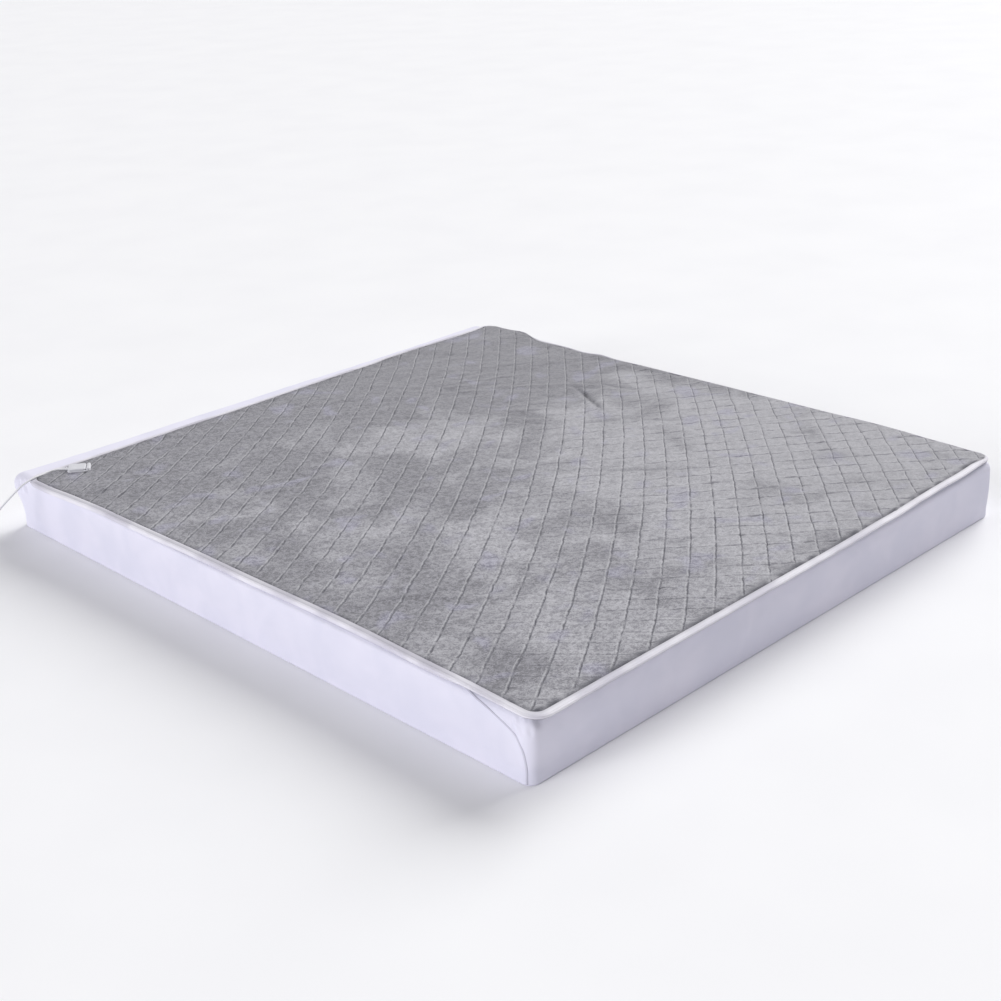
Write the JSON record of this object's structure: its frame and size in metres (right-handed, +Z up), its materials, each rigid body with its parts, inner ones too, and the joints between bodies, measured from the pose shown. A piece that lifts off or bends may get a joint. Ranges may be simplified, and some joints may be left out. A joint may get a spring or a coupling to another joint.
{
  "type": "electric heated blanket on a mattress",
  "caption": "Grey fleece electric heated blanket with a stitched diamond pattern and a white bound edge, laid on a flat mattress, with a flat corner connector and a mains lead.",
  "frame": {"origin": "on the surface that the mattress stands on, below the middle of the mattress and the blanket", "axes": "+Z up; +Y towards the head end, where the lead leaves; +X towards the right side seen from the foot"},
  "size_m": [2.168, 2.052, 0.1799],
  "materials": {
    "sheet_cotton": "smooth woven cotton sheet, faintly lilac white",
    "grey_fleece": "short-pile grey fleece with stitched diamond grooves",
    "white_tape": "white woven binding tape",
    "white_plastic": "moulded white plastic, satin",
    "pale_grey_plastic": "moulded pale grey plastic, fine matt texture",
    "white_vinyl": "soft white vinyl sheath",
    "black_strap": "black hook-and-loop strap",
    "blade_brass": "plated brass blades"
  },
  "bodies": {
    "root": {"mattress": "sheet_cotton", "fleece_panel": "grey_fleece", "edge_binding": "white_tape", "connector_base": "white_plastic", "connector_housing": "pale_grey_plastic", "strain_relief": "white_vinyl", "cord_tube": "white_vinyl", "cord_coil": "white_vinyl", "coil_tie": "black_strap", "cord_tail": "white_vinyl", "plug_relief": "white_vinyl", "plug_body": "white_plastic", "plug_blade_1": "blade_brass", "plug_blade_2": "blade_brass"}
  },
  "joints": []
}
